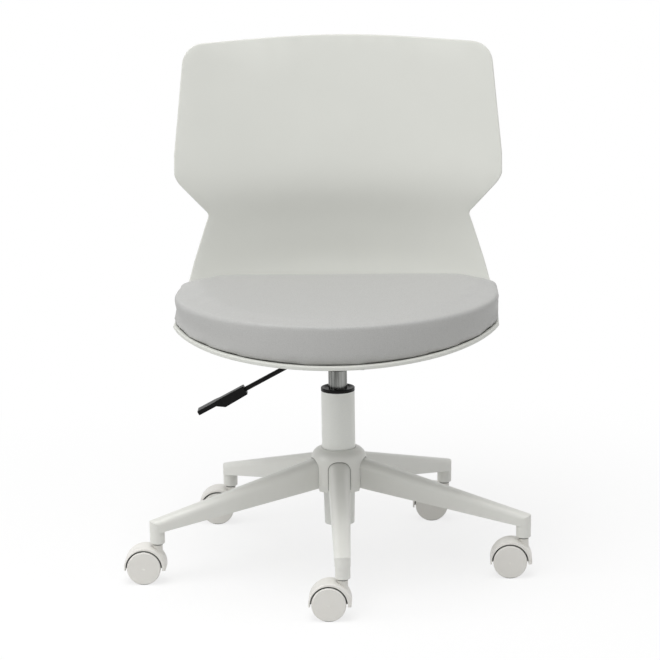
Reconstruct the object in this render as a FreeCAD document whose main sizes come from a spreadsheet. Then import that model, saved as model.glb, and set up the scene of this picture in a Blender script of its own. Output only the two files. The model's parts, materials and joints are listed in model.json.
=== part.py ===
# Office chair: a one-piece moulded shell with a seat pad, on a gas column, a five-leg base and
# hooded twin-wheel casters. Millimetres. The origin is on the floor under the column, Z is up and
# the sitter faces -Y.
import FreeCAD
import Part
import Sketcher
import math
import os
import re
from FreeCAD import Placement, Rotation, Vector

X_AXIS = Vector(1, 0, 0)
Y_AXIS = Vector(0, 1, 0)
Z_AXIS = Vector(0, 0, 1)
LEG_COUNT = 5
BALL_COUNT = 10

# Driving dimensions: name, size and what it is. A height is above the floor.
DIMENSIONS = {
    "fit": (0.05, "running clearance on a radius"),
    "press": (0.02, "clearance of a pressed joint on a radius"),
    # Column and gas spring
    "tube_radius": (25.0, "outer tube of the column"),
    "tube_bore": (20.0, "bore radius of the outer tube"),
    "tube_top": (266.0, "height of the tube's rim"),
    "taper_top": (172.0, "height where the tube's taper begins"),
    "tube_foot": (62.0, "height of the tube's tapered end"),
    "tube_foot_radius": (22.25, "radius of the tapered end"),
    "tube_floor": (3.0, "thickness of the tube's floor"),
    "bush_lip_radius": (25.3, "radius of the bush's lip"),
    "bush_top": (271.0, "height of the bush's lip"),
    "bush_foot": (190.0, "height of the bush's lower end"),
    "bush_dish_radius": (22.5, "outer radius of the dish in the lip"),
    "bush_dish_depth": (2.0, "depth of that dish"),
    "cylinder_radius": (14.0, "bare steel gas cylinder"),
    "cylinder_bore": (12.0, "bore radius of the gas cylinder"),
    "cylinder_foot": (80.5, "lower end of the gas cylinder"),
    "cylinder_top": (319.5, "upper end of the gas cylinder"),
    "cylinder_nose_radius": (13.2, "radius at the top of its taper"),
    "cylinder_head": (300.0, "underside of the cylinder's solid head"),
    "gland_height": (12.0, "guide and seal at the cylinder's lower end"),
    "rod_radius": (5.0, "piston rod"),
    "rod_tail_radius": (4.2, "thin end of the rod, through the bearing"),
    "rod_tail_foot": (57.0, "lower end of the rod"),
    "rod_groove_radius": (3.3, "clip groove in the rod"),
    "rod_groove_foot": (60.3, "lower side of that groove"),
    "rod_groove_top": (61.7, "upper side of that groove"),
    "clip_radius": (7.0, "outer radius of the retaining clip"),
    "clip_thickness": (1.2, "retaining clip"),
    "piston_foot": (226.0, "underside of the piston"),
    "piston_top": (240.0, "top of the piston"),
    "piston_radius": (11.8, "piston"),
    "seal_foot": (231.0, "underside of the piston seal"),
    "seal_height": (4.0, "piston seal"),
    "seal_inner_radius": (9.5, "bottom of the seal groove"),
    "seal_radius": (11.95, "outer radius of the seal"),
    "race_radius": (13.0, "thrust bearing races"),
    "race_thickness": (2.0, "thrust bearing races"),
    "ball_gap": (4.0, "height between the races"),
    "ball_radius": (1.98, "bearing balls"),
    "ball_ring_radius": (8.8, "circle of the bearing balls"),
    "buffer_radius": (11.0, "rubber buffer under the cylinder"),
    "buffer_height": (7.0, "rubber buffer"),
    "pin_radius": (4.0, "release pin"),
    "pin_foot": (296.0, "lower end of the release pin"),
    "pin_top": (324.6, "top of the release pin"),
    "pin_tip_radius": (1.2, "flat at the pin's tip"),
    "pin_tip_height": (2.0, "height of the pin's cone"),
    # Base
    "base_yaw": (2.55, "turn of the base against the seat, degrees"),
    "core_radius": (31.0, "steel hub core"),
    "core_foot": (118.0, "underside of the hub core"),
    "cover_top": (178.7, "top of the hub cover"),
    "cover_lip_radius": (28.5, "outer radius at the cover's top"),
    "cover_shoulder_radius": (41.0, "radius at the cover's shoulder"),
    "cover_shoulder": (164.0, "height of the shoulder"),
    "cover_round": (17.0, "radius of the shoulder's curve"),
    "cover_waist": (126.0, "height where the skirt turns in"),
    "cover_waist_radius": (42.0, "radius there"),
    "cover_foot": (117.0, "underside of the cover"),
    "cover_foot_radius": (40.5, "radius at the underside"),
    "cover_wall": (2.6, "wall of the cover"),
    "cover_gap": (0.5, "gap between tube and cover"),
    "arch_gap": (0.8, "gap round a leg in the cover"),
    "leg_reach": (285.0, "column axis to caster stem"),
    "leg_root": (24.0, "start of a leg before the core cuts it"),
    "leg_root_half": (16.4, "half width at the root"),
    "leg_root_foot": (123.7, "underside at the root"),
    "leg_root_top": (168.1, "ridge at the root"),
    "leg_root_round": (14.0, "radius of the ridge's sides at the root"),
    "leg_tip_half": (11.3, "half width at the tip"),
    "leg_tip_foot": (75.0, "underside at the tip"),
    "leg_tip_top": (93.2, "ridge at the tip"),
    "leg_tip_round": (9.0, "radius of the ridge's sides at the tip"),
    "leg_wall": (2.0, "wall of a leg"),
    "leg_cavity_end": (262.0, "end of the hollow"),
    "socket_radius": (11.0, "caster socket"),
    "socket_foot": (59.0, "lower end of the socket"),
    "socket_top": (88.0, "upper end of the socket's tube"),
    "socket_chamfer": (1.2, "chamfer at the socket's mouth"),
    "sleeve_radius": (7.5, "outer radius of a stem sleeve"),
    "sleeve_height": (29.0, "length of a stem sleeve"),
    # Casters
    "wheel_radius": (25.0, "caster wheel"),
    "wheel_width": (16.4, "one wheel of the pair"),
    "wheel_gap": (0.5, "wheel to web"),
    "wheel_edge": (1.6, "bevel of the wheel's edge"),
    "wheel_rim": (3.6, "thickness of the rim"),
    "wheel_face": (5.0, "thickness of the outer face"),
    "wheel_hub_radius": (6.5, "hub inside the wheel"),
    "wheel_crown": (0.4, "swell of the outer face"),
    "trail": (20.0, "stem axis to axle"),
    "hood_radius": (31.0, "outer radius of the hood"),
    "hood_shift": (1.5, "the hood's centre is this much nearer to the stem than the axle"),
    "hood_gap": (2.2, "gap between hood and wheel"),
    "hood_cut": (21.5, "height of the hood's lower edge"),
    "hood_half": (19.0, "half width of the hood"),
    "hood_round": (2.5, "rounding of the hood's rim"),
    "web_half": (3.0, "half thickness of the web between the wheels"),
    "axle_boss_radius": (7.0, "boss round the axle"),
    "axle_radius": (3.0, "axle"),
    "axle_half": (15.0, "half length of the axle"),
    "boss_radius": (7.5, "neck that holds the stem"),
    "boss_foot": (40.0, "lower end of the neck, inside the hood"),
    "boss_top": (57.0, "top of the neck"),
    "stem_radius": (5.0, "caster stem"),
    "stem_foot": (48.5, "lower end of the stem"),
    "stem_top": (86.5, "upper end of the stem"),
    "stem_groove": (80.0, "height of the stem's snap groove"),
    "stem_groove_width": (2.4, "snap groove"),
    "stem_groove_depth": (0.7, "snap groove"),
    "stem_tip": (1.5, "bevel of the stem's tip"),
    # Seat plate and lever
    "socket_seat": (298.5, "lower end of the taper socket"),
    "socket_rim": (320.0, "upper end of the taper socket"),
    "socket_wall_radius": (19.0, "outer radius of the taper socket"),
    "box_floor": (302.0, "underside of the mechanism box"),
    "box_wall": (2.5, "sheet of the mechanism box"),
    "box_half": (24.0, "half width of the box across the lever"),
    "box_left": (44.0, "column axis to the box's lever side"),
    "box_right": (40.0, "column axis to the box's far side"),
    "slot_half": (6.0, "half width of the lever's slot"),
    "slot_foot": (311.0, "lower end of the slot"),
    "slot_top": (331.0, "upper end of the slot"),
    "plate_foot": (340.0, "underside of the seat plate"),
    "plate_thickness": (3.0, "seat plate"),
    "plate_half": (88.0, "half width of the plate"),
    "plate_front": (127.0, "column axis to the plate's front edge"),
    "plate_rear": (49.0, "column axis to the plate's rear edge"),
    "plate_corner": (14.0, "corner radius of the plate"),
    "flange_height": (9.0, "turned-down edges of the plate"),
    "flange_inset": (15.0, "ends of those edges from the plate's corners"),
    "bolt_x": (70.0, "column axis to a bolt, across"),
    "bolt_front": (109.0, "column axis to the front bolts"),
    "bolt_rear": (31.0, "column axis to the rear bolts"),
    "bolt_radius": (3.0, "bolt shank"),
    "bolt_hole": (3.3, "clearance hole"),
    "bolt_top": (362.0, "end of a bolt"),
    "bolt_head_radius": (6.0, "bolt head"),
    "bolt_head_height": (4.2, "bolt head"),
    "washer_radius": (8.0, "plain washer"),
    "washer_thickness": (1.2, "plain washer"),
    "nut_flange_radius": (9.5, "tee nut flange"),
    "nut_flange_foot": (360.4, "underside of a tee nut's flange"),
    "nut_flange_height": (1.4, "tee nut flange"),
    "nut_barrel_radius": (4.0, "tee nut barrel"),
    "nut_barrel_foot": (356.6, "lower end of a tee nut"),
    "pivot_x": (24.0, "column axis to the lever's pivot"),
    "pivot_z": (330.0, "height of the lever's pivot"),
    "pivot_radius": (2.5, "pivot pin"),
    "pivot_half": (25.5, "half length of the pivot pin"),
    "eye_radius": (6.5, "eye of the lever"),
    "eye_half": (7.0, "half width of the eye"),
    "finger_reach": (30.0, "pivot to the end of the finger over the pin"),
    "finger_half": (5.0, "half width of the finger"),
    "finger_foot": (325.0, "underside of the finger"),
    "finger_height": (4.5, "finger"),
    "lever_slope": (28.4, "fall of the lever, degrees"),
    "lever_radius": (3.5, "lever rod"),
    "lever_length": (164.0, "pivot to the rod's outer end"),
    "grip_start": (129.5, "pivot to the start of the handle"),
    "grip_bore": (36.0, "depth of the handle's bore"),
    "grip_length": (79.0, "handle"),
    "grip_top": (6.6, "rod axis to the handle's upper edge"),
    "grip_base": (7.6, "rod axis to the lower edge at the start"),
    "grip_step": (39.0, "start to the finger step"),
    "grip_step_base": (9.0, "rod axis to the lower edge at the step"),
    "grip_blade": (50.0, "start to the blade"),
    "grip_blade_base": (0.4, "rod axis to the blade's lower edge"),
    "grip_half": (11.5, "half width of the blade"),
    "grip_neck_half": (7.5, "half width of the sleeve"),
    "grip_round": (1.5, "rounding of the handle's edges"),
    "grip_edge": (1.6, "only longer edges of the handle are rounded"),
    # Shell: one profile from the seat's front edge to the top of the back
    "shell_wall": (6.0, "thickness of the shell"),
    "shell_round": (1.5, "rounding of the shell's rim"),
    "pan_front": (-243.5, "front edge of the seat, along Y"),
    "pan_front_z": (359.5, "height of the front edge"),
    "pan_length": (358.0, "front edge to the rear corner, along the profile"),
    "pan_front_angle": (-4.0, "direction of the profile at the front edge, degrees"),
    "pan_rear_angle": (3.0, "direction at the rear corner"),
    "corner_radius": (70.0, "rear corner of the seat"),
    "corner_angle": (80.0, "direction at the end of that corner"),
    "hollow_radius": (230.0, "hollow above the seat"),
    "waist_angle": (101.0, "direction at the waist"),
    "lumbar_radius": (190.0, "swell behind the small of the back"),
    "back_angle": (79.0, "direction of the straight upper back"),
    "back_length": (230.0, "straight upper back, before its outline is cut"),
    "span_half": (252.0, "half width before the outlines are cut"),
    "station_step": (35.0, "spacing of the shell's sections along its profile"),
    "front_rise": (27.0, "the sides at span_half stand this much above the middle, at the front"),
    "back_rise": (33.0, "same, at the top of the back"),
    "wing_rise": (25.0, "added to it where the wings are highest, above the rear corner"),
    "wing_spread": (100.0, "how far along the profile the wings fade out"),
    # Shell outlines, seen from above and from the front
    "plan_radius": (248.0, "round front of the seat, seen from above"),
    "plan_centre": (4.5, "centre of that round, along Y"),
    "wing_half": (247.5, "half width where a wing leaves the seat's rim"),
    "wing_foot": (363.0, "height there"),
    "waist_half": (197.0, "half width at the waist"),
    "waist_z": (495.0, "height of the waist"),
    "waist_round": (9.0, "radius in the waist's notch"),
    "hip_half": (251.0, "half width of the back's lower corner"),
    "hip_z": (555.0, "height of that corner"),
    "hip_round": (42.0, "radius of that corner"),
    "top_half": (232.5, "half width of the back's upper corner"),
    "top_corner_z": (758.0, "height of that corner"),
    "top_round": (32.0, "radius of that corner"),
    "top_z": (771.0, "height where the top edge's two slopes would meet"),
    "top_arch": (1900.0, "radius of the top edge"),
    "shell_boss_radius": (9.0, "moulded bosses under the seat"),
    "shell_boss_depth": (9.0, "length of the bosses, into the shell"),
    # Cushion
    "pad_lift": (0.3, "cushion to shell"),
    "pad_radius": (247.5, "round front of the cushion, seen from above"),
    "pad_corner_y": (168.0, "where the sides and the rear edge would meet, along Y"),
    "pad_corner_round": (75.0, "rear corners of the cushion"),
    "pad_rear_y": (184.0, "where the two slopes of the rear edge would meet"),
    "pad_rear_round": (700.0, "radius of the rear edge"),
    "pad_dish_radius": (2100.0, "hollow of the cushion's top"),
    "pad_dish_z": (396.0, "lowest point of that hollow"),
    "pad_dish_y": (-30.0, "the same point, along Y"),
    "board_radius": (216.0, "board in the cushion, seen from above"),
    "board_rear": (100.0, "rear edge of the board"),
    "board_thickness": (4.0, "board in the cushion"),
    "board_angle": (32.0, "the board's sections end where the profile is steeper, degrees"),
    "board_hole": (4.4, "hole for a tee nut"),
    "nut_room": (1.0, "room round a tee nut in the cushion"),
}

# Layers of the cushion: height and how far its outline is drawn in there.
PAD_LAYERS = ((346.0, 9.0), (364.0, 3.0), (380.0, 0.0), (394.0, 3.0), (404.0, 13.0), (414.0, 36.0))

doc = FreeCAD.newDocument("office_chair")
sheet = doc.addObject("Spreadsheet::Sheet", "Dimensions")
for row, (name, (size, note)) in enumerate(DIMENSIONS.items(), start=1):
    sheet.set(f"A{row}", name)
    sheet.set(f"B{row}", str(size))
    sheet.set(f"C{row}", note)
    sheet.setAlias(f"B{row}", name)
doc.recompute()


def number(expression):
    """The value of an expression on the sheet's names."""
    return float(sheet.evalExpression(expression))


def bound(expression):
    """The same expression as another object has to write it."""
    return re.sub(r"[A-Za-z_]\w*", lambda m: f"Dimensions.{m[0]}" if m[0] in DIMENSIONS else m[0], expression)


def bind(thing, attribute, expression):
    thing.setExpression(attribute, bound(expression))


def new_body(label, loose=False):
    body = doc.addObject("PartDesign::Body", label)
    body.Label = label
    body.AllowCompound = loose
    return body


def origin_feature(body, role):
    return next(feature for feature in body.Origin.OriginFeatures if feature.Role == role)


def new_sketch(body, role, shift="0"):
    """A sketch on one of the body's own planes, moved along that plane's normal."""
    sketch = body.newObject("Sketcher::SketchObject", f"{body.Name}_sketch")
    sketch.AttachmentSupport = [(origin_feature(body, role), "")]
    sketch.MapMode = "FlatFace"
    sketch.AttachmentOffset = Placement(Vector(0, 0, number(shift)), Rotation())
    bind(sketch, "AttachmentOffset.Base.z", shift)
    return sketch


def pin_point(sketch, geometry, point, place):
    """Hold a point of the sketch at a place given by two expressions."""
    for kind, axis, expression in (("DistanceX", -2, place[0]), ("DistanceY", -1, place[1])):
        value = number(expression)
        if expression == "0":
            sketch.addConstraint(Sketcher.Constraint("PointOnObject", geometry, point, axis))
            continue
        index = sketch.addConstraint(Sketcher.Constraint(kind, -1, 1, geometry, point, value))
        bind(sketch, f"Constraints[{index}]", expression)


def arc_between(start, end, radius):
    """An arc under a half circle, anticlockwise from start to end."""
    chord = end - start
    height = math.sqrt(max(radius**2 - (chord.Length / 2) ** 2, 0))
    inward = Vector(-chord.y, chord.x, 0).normalize()
    centre = (start + end) * 0.5 + inward * height
    first = math.atan2(start.y - centre.y, start.x - centre.x)
    last = math.atan2(end.y - centre.y, end.x - centre.x)
    return Part.ArcOfCircle(Part.Circle(centre, Z_AXIS, radius), first, last)


def draw_outline(sketch, corners):
    """A closed outline, anticlockwise: a corner is x, y and, for an arc to the next one, its radius."""
    first = sketch.GeometryCount
    points = [Vector(number(corner[0]), number(corner[1]), 0) for corner in corners]
    count = len(corners)
    for i, corner in enumerate(corners):
        start = points[i]
        end = points[(i + 1) % count]
        if len(corner) == 3:
            sketch.addGeometry(arc_between(start, end, number(corner[2])), False)
        else:
            sketch.addGeometry(Part.LineSegment(start, end), False)
    for i, corner in enumerate(corners):
        following = first + (i + 1) % count
        sketch.addConstraint(Sketcher.Constraint("Coincident", first + i, 2, following, 1))
        pin_point(sketch, first + i, 1, corner)
        if len(corner) == 3:
            index = sketch.addConstraint(Sketcher.Constraint("Radius", first + i, number(corner[2])))
            bind(sketch, f"Constraints[{index}]", corner[2])


def draw_rectangle(sketch, left, low, right, high):
    draw_outline(sketch, [(left, low), (right, low), (right, high), (left, high)])


def draw_circle(sketch, x, y, radius):
    circle = Part.Circle(Vector(number(x), number(y), 0), Z_AXIS, number(radius))
    geometry = sketch.addGeometry(circle, False)
    pin_point(sketch, geometry, 3, (x, y))
    index = sketch.addConstraint(Sketcher.Constraint("Radius", geometry, number(radius)))
    bind(sketch, f"Constraints[{index}]", radius)


def add_pad(body, sketch, length, symmetric=False, backwards=False):
    feature = body.newObject("PartDesign::Pad", f"{body.Name}_pad")
    feature.Profile = sketch
    feature.Length = number(length)
    bind(feature, "Length", length)
    feature.SideType = "Symmetric" if symmetric else "One side"
    feature.Reversed = backwards
    return feature


def add_pocket(body, sketch, length=None, symmetric=False, backwards=False):
    """A cut against the sketch's normal, or along it if backwards; through everything if no length."""
    doc.recompute()
    volume = body.Shape.Volume
    feature = body.newObject("PartDesign::Pocket", f"{body.Name}_pocket")
    feature.Profile = sketch
    if length is None:
        feature.Type = "ThroughAll"
    else:
        feature.Length = number(length)
        bind(feature, "Length", length)
    feature.SideType = "Symmetric" if symmetric else "One side"
    feature.Reversed = backwards
    doc.recompute()
    if body.Shape.Volume > volume - 1e-6:
        raise ValueError(f"a pocket of {body.Label} cuts nothing")
    return feature


def add_revolution(label, corners):
    """A body turned about Z from an outline of radius and height."""
    body = new_body(label)
    sketch = new_sketch(body, "XZ_Plane")
    draw_outline(sketch, corners)
    feature = body.newObject("PartDesign::Revolution", f"{body.Name}_turned")
    feature.Profile = sketch
    feature.ReferenceAxis = (sketch, ["V_Axis"])
    feature.Angle = 360
    return body


def add_ring(label, inner, outer, foot, height):
    """A plain ring about Z."""
    top = f"{foot} + {height}"
    return add_revolution(label, [(inner, foot), (outer, foot), (outer, top), (inner, top)])


def add_fillet(body, radius, chosen, kind="PartDesign::Fillet"):
    """Round or bevel the edges that the test chooses."""
    doc.recompute()
    tip = body.Tip
    names = [f"Edge{i}" for i, edge in enumerate(tip.Shape.Edges, start=1) if chosen(edge)]
    if not names:
        raise ValueError(f"{body.Label} has no edge to round")
    feature = body.newObject(kind, f"{body.Name}_edge")
    feature.Base = (tip, names)
    size = "Radius" if kind == "PartDesign::Fillet" else "Size"
    setattr(feature, size, number(radius))
    bind(feature, size, radius)
    return feature


def is_circle(edge, radius, height=None):
    """True for a circular edge of that radius and, if given, at that height."""
    if not isinstance(edge.Curve, Part.Circle) or abs(edge.Curve.Radius - number(radius)) > 0.01:
        return False
    return height is None or abs(edge.Curve.Center.z - number(height)) < 0.01


def add_shape(label, shape):
    feature = doc.addObject("Part::Feature", label)
    feature.Label = label
    feature.Shape = shape
    feature.Placement = Placement()
    return feature


# Column and gas spring


def make_column():
    floor_top = "tube_foot + tube_floor"
    tail_hole = "rod_tail_radius + fit"
    add_revolution("column_tube", [
        (tail_hole, "tube_foot"), ("tube_foot_radius", "tube_foot"), ("tube_radius", "taper_top"),
        ("tube_radius", "tube_top"), ("tube_bore", "tube_top"), ("tube_bore", floor_top),
        (tail_hole, floor_top)])
    bush_bore = "cylinder_radius + fit"
    sleeve = "tube_bore - press"
    dish_floor = "bush_top - bush_dish_depth"
    bush = add_revolution("guide_bush", [
        (bush_bore, "bush_foot"), (sleeve, "bush_foot"), (sleeve, "tube_top"),
        ("bush_lip_radius", "tube_top"), ("bush_lip_radius", "bush_top"),
        ("bush_dish_radius", "bush_top"), (f"{bush_bore} + 2 * bush_dish_depth", dish_floor),
        (bush_bore, dish_floor)])
    add_fillet(bush, "bush_dish_depth / 2", lambda edge: is_circle(edge, "bush_lip_radius", "bush_top"))

    race_bore = "rod_tail_radius + fit"
    ball_foot = f"{floor_top} + race_thickness"
    add_ring("bearing_lower_race", race_bore, "race_radius", floor_top, "race_thickness")
    upper_foot = f"{ball_foot} + ball_gap"
    add_ring("bearing_upper_race", race_bore, "race_radius", upper_foot, "race_thickness")
    balls = []
    for i in range(BALL_COUNT):
        ball = doc.addObject("Part::Sphere", "ball")
        bind(ball, "Radius", "ball_radius")
        turn = Rotation(Z_AXIS, 360 * i / BALL_COUNT)
        place = Vector(number("ball_ring_radius"), 0, number(f"{ball_foot} + ball_gap / 2"))
        ball.Placement = Placement(turn.multVec(place), turn)
        balls.append(ball)
    group = doc.addObject("Part::Compound", "bearing_balls")
    group.Links = balls

    shoulder = f"{upper_foot} + race_thickness"
    add_revolution("piston_rod", [
        ("0", "rod_tail_foot"), ("rod_tail_radius", "rod_tail_foot"), ("rod_tail_radius", "rod_groove_foot"),
        ("rod_groove_radius", "rod_groove_foot"), ("rod_groove_radius", "rod_groove_top"),
        ("rod_tail_radius", "rod_groove_top"), ("rod_tail_radius", shoulder), ("rod_radius", shoulder),
        ("rod_radius", "piston_top"), ("0", "piston_top")])
    clip_foot = "(rod_groove_foot + rod_groove_top - clip_thickness) / 2"
    add_ring("rod_clip", "rod_groove_radius + press", "clip_radius", clip_foot, "clip_thickness")
    add_ring("bottom_buffer", "rod_radius + press", "buffer_radius", shoulder, "buffer_height")
    piston_bore = "rod_radius + press"
    seal_top = "seal_foot + seal_height"
    add_revolution("piston_head", [
        (piston_bore, "piston_foot"), ("piston_radius", "piston_foot"), ("piston_radius", "seal_foot"),
        ("seal_inner_radius", "seal_foot"), ("seal_inner_radius", seal_top), ("piston_radius", seal_top),
        ("piston_radius", "piston_top"), (piston_bore, "piston_top")])
    seal_bore = "seal_inner_radius + press"
    add_ring("piston_seal", seal_bore, "seal_radius", "seal_foot + press", "seal_height - 2 * press")
    pin_bore = "pin_radius + fit"
    add_revolution("gas_cylinder", [
        ("cylinder_bore", "cylinder_foot"), ("cylinder_radius", "cylinder_foot"),
        ("cylinder_radius", "socket_seat"), ("cylinder_nose_radius", "cylinder_top"),
        (pin_bore, "cylinder_top"), (pin_bore, "cylinder_head"), ("cylinder_bore", "cylinder_head")])
    add_ring("cylinder_gland", "rod_radius + fit", "cylinder_bore - press", "cylinder_foot", "gland_height")
    cone_foot = "pin_top - pin_tip_height"
    add_revolution("release_pin", [
        ("0", "pin_foot"), ("pin_radius", "pin_foot"), ("pin_radius", cone_foot),
        ("pin_tip_radius", "pin_top"), ("0", "pin_top")])


# Base: hub, legs and caster sockets


def leg_section(at, inset):
    """An arched section of a leg at a distance from the column, drawn in by an inset."""
    share = f"(({at}) - leg_root) / (leg_reach + leg_tip_half - leg_root)"

    def along(name):
        return f"(leg_root_{name} + (leg_tip_{name} - leg_root_{name}) * {share})"

    half = f"({along('half')} - ({inset}))"
    foot = f"({along('foot')} + ({inset}))"
    top = f"({along('top')} - ({inset}))"
    bend = f"({along('round')} - ({inset}))"
    return [
        (f"-{half}", foot), (half, foot), (half, f"{top} - {bend}", bend), (f"{half} - {bend}", top),
        (f"{bend} - {half}", top, bend), (f"-{half}", f"{top} - {bend}")]


def add_leg_loft(body, kind, start, end, inset):
    profiles = []
    for at in (start, end):
        sketch = new_sketch(body, "YZ_Plane", at)
        draw_outline(sketch, leg_section(at, inset))
        profiles.append(sketch)
    loft = body.newObject(kind, f"{body.Name}_loft")
    loft.Profile = profiles[0]
    loft.Sections = [profiles[1]]
    doc.recompute()


def make_leg(label, angle):
    """A tapered leg along X with its root cut to the core and its tip round about the caster's stem."""
    body = new_body(label)
    leg_end = "leg_reach + leg_tip_half"
    add_leg_loft(body, "PartDesign::AdditiveLoft", "leg_root", leg_end, "0")
    add_leg_loft(body, "PartDesign::SubtractiveLoft", "leg_root", "leg_cavity_end", "leg_wall")
    tip = new_sketch(body, "XY_Plane")
    room = "2 * leg_tip_half"
    for side in ("", "-"):
        square = [("leg_reach", f"{side}leg_tip_half"), (leg_end, "0"), (f"leg_reach + {room}", "0"),
                  (f"leg_reach + {room}", f"{side}{room}"), ("leg_reach", f"{side}{room}")]
        draw_tip_corner(tip, square, outward=side == "")
    add_pocket(body, tip, backwards=True)
    saddle = new_sketch(body, "XY_Plane")
    draw_circle(saddle, "0", "0", "core_radius")
    add_pocket(body, saddle, backwards=True)
    socket = new_sketch(body, "XY_Plane", "socket_foot")
    draw_circle(socket, "leg_reach", "0", "socket_radius")
    add_pad(body, socket, "socket_top - socket_foot")
    add_fillet(body, "socket_chamfer", lambda edge: is_circle(edge, "socket_radius", "socket_foot"),
               "PartDesign::Chamfer")
    bore = new_sketch(body, "XY_Plane", "socket_foot")
    draw_circle(bore, "leg_reach", "0", "sleeve_radius")
    add_pocket(body, bore, "sleeve_height", backwards=True)
    body.Placement = Placement(Vector(), Rotation(Z_AXIS, angle))


def draw_tip_corner(sketch, corners, outward):
    """What is cut off beside a leg's round tip: a square corner less a quarter circle."""
    first = sketch.GeometryCount
    points = [Vector(number(x), number(y), 0) for x, y in corners]
    centre = Vector(number("leg_reach"), 0, 0)
    span = (0, math.pi / 2) if outward else (-math.pi / 2, 0)
    sketch.addGeometry(Part.ArcOfCircle(Part.Circle(centre, Z_AXIS, number("leg_tip_half")), *span), False)
    for start, end in zip(points[1:], points[2:] + points[:1]):
        sketch.addGeometry(Part.LineSegment(start, end), False)
    count = len(points)
    side_end, front_end = (2, 1) if outward else (1, 2)
    sketch.addConstraint(Sketcher.Constraint("Coincident", first, front_end, first + 1, 1))
    sketch.addConstraint(Sketcher.Constraint("Coincident", first + count - 1, 2, first, side_end))
    for i in range(1, count - 1):
        sketch.addConstraint(Sketcher.Constraint("Coincident", first + i, 2, first + i + 1, 1))
        pin_point(sketch, first + i, 1, corners[i])
    pin_point(sketch, first + count - 1, 1, corners[-1])
    pin_point(sketch, first, side_end, corners[0])
    index = sketch.addConstraint(Sketcher.Constraint("Radius", first, number("leg_tip_half")))
    bind(sketch, f"Constraints[{index}]", "leg_tip_half")


def make_base():
    taper = "(tube_radius - tube_foot_radius) / (taper_top - tube_foot)"
    core_bore_foot = f"tube_foot_radius + {taper} * (core_foot - tube_foot)"
    add_revolution("hub_core", [
        (f"{core_bore_foot} + press", "core_foot"), ("core_radius", "core_foot"),
        ("core_radius", "taper_top"), ("tube_radius + press", "taper_top")])

    inner_top = "cover_top - cover_wall"
    mouth = "tube_radius + cover_gap"
    cover = add_revolution("hub_cover", [
        ("cover_foot_radius - cover_wall", "cover_foot"), ("cover_foot_radius", "cover_foot"),
        ("cover_waist_radius", "cover_waist"), ("cover_shoulder_radius", "cover_shoulder", "cover_round"),
        ("cover_lip_radius", "cover_top"), (mouth, "cover_top"), (mouth, inner_top),
        ("cover_lip_radius", inner_top), ("cover_shoulder_radius - cover_wall", "cover_shoulder"),
        ("cover_waist_radius - cover_wall", "cover_waist")])
    arch = new_sketch(cover, "YZ_Plane")
    section = leg_section("cover_shoulder_radius - cover_wall", "-arch_gap")
    below = "cover_foot - cover_wall"
    section[0] = (section[0][0], below)
    section[1] = (section[1][0], below)
    draw_outline(arch, section)
    cut = add_pocket(cover, arch, backwards=True)
    pattern = cover.newObject("PartDesign::PolarPattern", "hub_cover_arches")
    pattern.Originals = [cut]
    pattern.Axis = (origin_feature(cover, "Z_Axis"), [""])
    pattern.Angle = 360
    pattern.Occurrences = LEG_COUNT
    cover.Tip = pattern

    sleeves = new_body("stem_sleeves", loose=True)
    ring = new_sketch(sleeves, "XY_Plane", "socket_foot")
    draw_circle(ring, "leg_reach", "0", "sleeve_radius - press")
    draw_circle(ring, "leg_reach", "0", "stem_radius + fit")
    first = add_pad(sleeves, ring, "sleeve_height - press")
    doc.recompute()
    spread = sleeves.newObject("PartDesign::PolarPattern", "stem_sleeves_all")
    spread.Originals = [first]
    spread.Axis = (origin_feature(sleeves, "Z_Axis"), [""])
    spread.Angle = 360
    spread.Occurrences = LEG_COUNT
    sleeves.Tip = spread

    front = leg_angles()[0]
    for body in (cover, sleeves):
        body.Placement = Placement(Vector(), Rotation(Z_AXIS, front))
    for i, angle in enumerate(leg_angles(), start=1):
        make_leg(f"leg_{i}", angle)


def leg_angles():
    """Directions of the legs, the front one first, anticlockwise seen from above."""
    return [-90 + number("base_yaw") + 360 * i / LEG_COUNT for i in range(LEG_COUNT)]


# Casters


def make_hood(label):
    """Hood with a web between the wheels and a neck for the stem; the wheels trail towards -X."""
    body = new_body(label)
    outer = new_sketch(body, "XZ_Plane")
    draw_circle(outer, "hood_shift - trail", "wheel_radius", "hood_radius")
    add_pad(body, outer, "2 * hood_half", symmetric=True)
    lower = new_sketch(body, "XZ_Plane")
    reach = "trail + 2 * hood_radius"
    draw_rectangle(lower, f"-({reach})", "-hood_radius", reach, "hood_cut")
    add_pocket(body, lower, symmetric=True)
    neck = new_sketch(body, "XY_Plane", "boss_foot")
    draw_circle(neck, "0", "0", "boss_radius")
    add_pad(body, neck, "boss_top - boss_foot")
    for shift, backwards in (("-web_half", False), ("web_half", True)):
        room = new_sketch(body, "XZ_Plane", shift)
        draw_circle(room, "-trail", "wheel_radius", "wheel_radius + hood_gap")
        add_pocket(body, room, backwards=backwards)
    boss = new_sketch(body, "XZ_Plane")
    draw_circle(boss, "-trail", "wheel_radius", "axle_boss_radius")
    add_pad(body, boss, "2 * web_half", symmetric=True)
    hole = new_sketch(body, "XZ_Plane")
    draw_circle(hole, "-trail", "wheel_radius", "axle_radius + press")
    add_pocket(body, hole, symmetric=True)
    bore = new_sketch(body, "XY_Plane", "boss_top")
    draw_circle(bore, "0", "0", "stem_radius + press")
    add_pocket(body, bore, "boss_top - stem_foot")
    add_fillet(body, "hood_round", lambda edge: is_circle(edge, "hood_radius"))
    return body


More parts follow.
